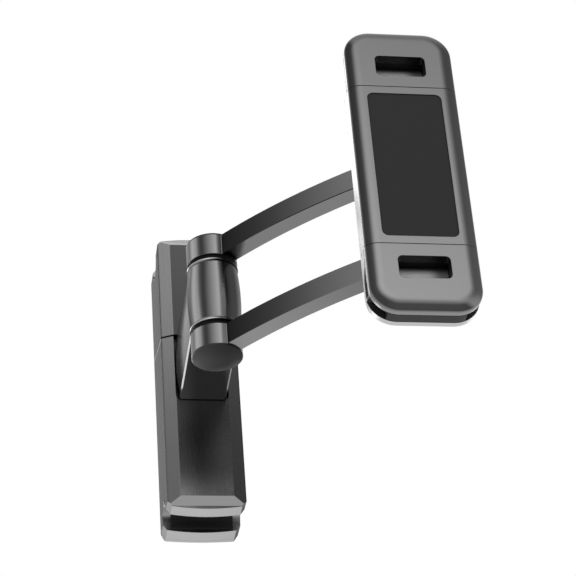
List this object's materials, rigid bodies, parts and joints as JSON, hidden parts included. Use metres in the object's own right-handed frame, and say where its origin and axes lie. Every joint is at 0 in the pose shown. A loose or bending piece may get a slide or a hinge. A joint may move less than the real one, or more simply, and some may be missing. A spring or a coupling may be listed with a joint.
{
  "type": "headrest tablet mount",
  "caption": "Tablet mount: a sliding clamp that fits between headrest posts, a folding double arm, and a swivelling holder with sprung jaws and pull-out claws.",
  "frame": {"origin": "middle of the axis of the upper post mouth", "axes": "+X along the headrest posts, -Y from the clamp towards the holder, +Z from the lower post mouth to the upper one, upwards as pictured"},
  "size_m": [0.1057, 0.1885, 0.1395],
  "materials": {
    "gunmetal": "satin, gunmetal grey",
    "dark_metal": "satin, dark grey",
    "steel": "bright",
    "black_plastic": "matte black",
    "rubber": "matte black"
  },
  "bodies": {
    "clamp_upper": {"upper_shell": "gunmetal", "upper_cover": "gunmetal", "upper_liner": "rubber", "box_rail": "dark_metal", "push_springs": "steel", "upper_cover_screws": "steel", "rail_screws": "steel", "bracket": "gunmetal", "bracket_screws": "steel", "near_rings": "steel"},
    "clamp_lower": {"lower_shell": "gunmetal", "lower_cover": "gunmetal", "lower_liner": "rubber", "guide_rods": "steel", "lower_cover_screws": "steel"},
    "arms": {"near_pin": "steel", "near_washers": "black_plastic", "near_caps": "dark_metal", "upper_arm": "gunmetal", "lower_arm": "gunmetal", "far_pin": "steel", "far_washers": "black_plastic", "far_caps": "dark_metal"},
    "swivel": {"swivel_neck": "gunmetal", "far_rings": "steel", "swivel_disc": "black_plastic", "swivel_bolt": "steel", "spring_washer": "steel"},
    "holder": {"middle_front": "gunmetal", "middle_back": "gunmetal", "rubber_pad": "rubber", "middle_screws": "steel", "top_spring": "steel", "bottom_spring": "steel"},
    "top_jaw": {"top_jaw_front": "gunmetal", "top_jaw_back": "gunmetal", "top_jaw_slide": "black_plastic", "top_jaw_screws": "steel"},
    "bottom_jaw": {"bottom_jaw_front": "gunmetal", "bottom_jaw_back": "gunmetal", "bottom_jaw_slide": "black_plastic", "bottom_jaw_screws": "steel"},
    "top_claw": {"top_claw_frame": "black_plastic", "top_claw_hook": "black_plastic", "top_claw_pin": "steel"},
    "bottom_claw": {"bottom_claw_frame": "black_plastic", "bottom_claw_hook": "black_plastic", "bottom_claw_pin": "steel"}
  },
  "joints": [
    {"name": "clamp_slide", "type": "slide", "parent": "clamp_upper", "child": "clamp_lower", "axis": [0, 0, -1], "range_m": [0, 0.045], "deforming": ["push_springs"]},
    {"name": "arm_swing", "type": "hinge", "parent": "clamp_upper", "child": "arms", "pos_m": [0, -0.07085, -0.06705], "axis": [0, 0, 1], "range_deg": [-145.6, 54.4]},
    {"name": "holder_fold", "type": "hinge", "parent": "arms", "child": "swivel", "pos_m": [0.06666, -0.13613, -0.06705], "axis": [0, 0, 1], "range_deg": [-54.4, 92]},
    {"name": "holder_swivel", "type": "hinge", "parent": "swivel", "child": "holder", "pos_m": [0.06666, -0.15873, -0.06705], "axis": [0, -1, 0], "continuous": true},
    {"name": "top_jaw_pull", "type": "slide", "parent": "holder", "child": "top_jaw", "axis": [0, 0, 1], "range_m": [0, 0.03], "stiffness_N_per_m": 150, "springref_m": -0.02, "deforming": ["top_spring"]},
    {"name": "bottom_jaw_pull", "type": "slide", "parent": "holder", "child": "bottom_jaw", "axis": [0, 0, -1], "range_m": [0, 0.03], "stiffness_N_per_m": 150, "springref_m": -0.02, "deforming": ["bottom_spring"]},
    {"name": "top_claw_pull", "type": "slide", "parent": "top_jaw", "child": "top_claw", "axis": [0, 0, 1], "range_m": [0, 0.0124]},
    {"name": "bottom_claw_pull", "type": "slide", "parent": "bottom_jaw", "child": "bottom_claw", "axis": [0, 0, -1], "range_m": [0, 0.0124]}
  ]
}
